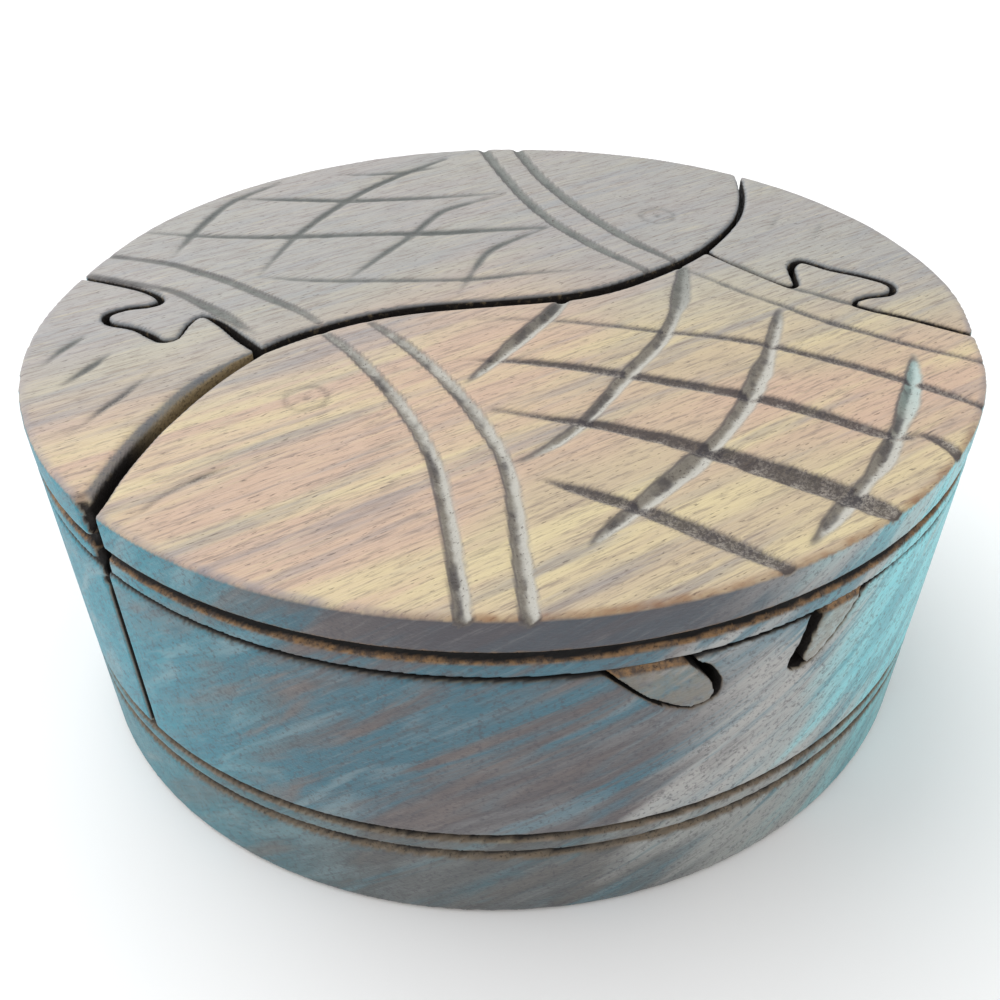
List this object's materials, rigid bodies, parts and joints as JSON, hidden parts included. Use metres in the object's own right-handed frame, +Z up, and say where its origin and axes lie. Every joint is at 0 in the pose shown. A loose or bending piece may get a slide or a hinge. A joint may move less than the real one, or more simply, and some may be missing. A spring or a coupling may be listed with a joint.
{
  "type": "wooden puzzle box",
  "caption": "Oval wooden keepsake box whose sawn lid is two interlocking fish that slide apart, with tails that lift as keys.",
  "frame": {"origin": "centre of the oval underside, on the surface the box stands on", "axes": "+X along the oval's length towards the front fish's tail, +Y to the back, +Z up"},
  "size_m": [0.13, 0.12, 0.054],
  "materials": {
    "wall_wood": "satin",
    "lid_wood": "satin",
    "tail_wood": "satin"
  },
  "bodies": {
    "box": {"base": "wall_wood", "front_wall": "wall_wood", "back_wall": "wall_wood"},
    "front_fish": {"front_fish_lid": "lid_wood"},
    "back_fish": {"back_fish_lid": "lid_wood"},
    "left_tail": {"left_tail_key": "tail_wood"},
    "right_tail": {"right_tail_key": "tail_wood"}
  },
  "joints": [
    {"name": "front_fish_slide", "type": "slide", "parent": "box", "child": "front_fish", "axis": [0.2588, -0.9659, 0], "range_m": [0, 0.075]},
    {"name": "back_fish_slide", "type": "slide", "parent": "box", "child": "back_fish", "axis": [-0.2588, 0.9659, 0], "range_m": [0, 0.075]},
    {"name": "right_tail_lift", "type": "slide", "parent": "front_fish", "child": "right_tail", "axis": [0, 0, 1], "range_m": [0, 0.045]},
    {"name": "left_tail_lift", "type": "slide", "parent": "back_fish", "child": "left_tail", "axis": [0, 0, 1], "range_m": [0, 0.045]}
  ]
}
